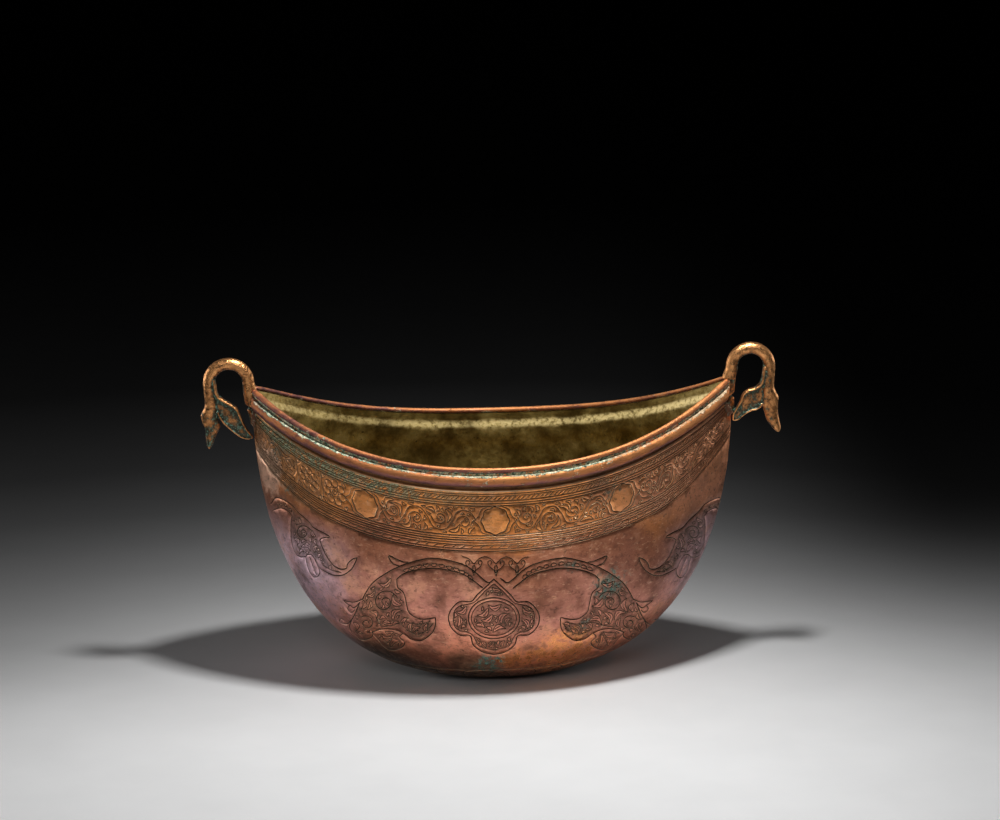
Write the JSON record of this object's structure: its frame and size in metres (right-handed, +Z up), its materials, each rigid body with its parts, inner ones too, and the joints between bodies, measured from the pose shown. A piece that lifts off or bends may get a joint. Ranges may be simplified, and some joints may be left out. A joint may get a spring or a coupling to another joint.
{
  "type": "hanging begging bowl",
  "caption": "Boat-shaped bowl of beaten, engraved copper with a moulded rim and beaked suspension hooks, used to hold food or alms and hang from a chain.",
  "frame": {"origin": "centre of the flat base, on its underside", "axes": "+X along the bowl to the right-hand hook, -Y to the front, +Z up"},
  "size_m": [0.2635, 0.1236, 0.1488],
  "materials": {
    "engraved_copper": "patinated, engraved",
    "rim_copper": "worn, rubbed bright",
    "hook_bronze": "cast, patinated",
    "solder": "dull, filed"
  },
  "bodies": {
    "root": {"bowl_shell": "engraved_copper", "lip_wire_front": "rim_copper", "lip_wire_back": "rim_copper", "rim_moulding_front": "rim_copper", "rim_moulding_back": "rim_copper", "hook_left": "hook_bronze", "hook_right": "hook_bronze", "solder_left": "solder", "solder_right": "solder"}
  },
  "joints": []
}
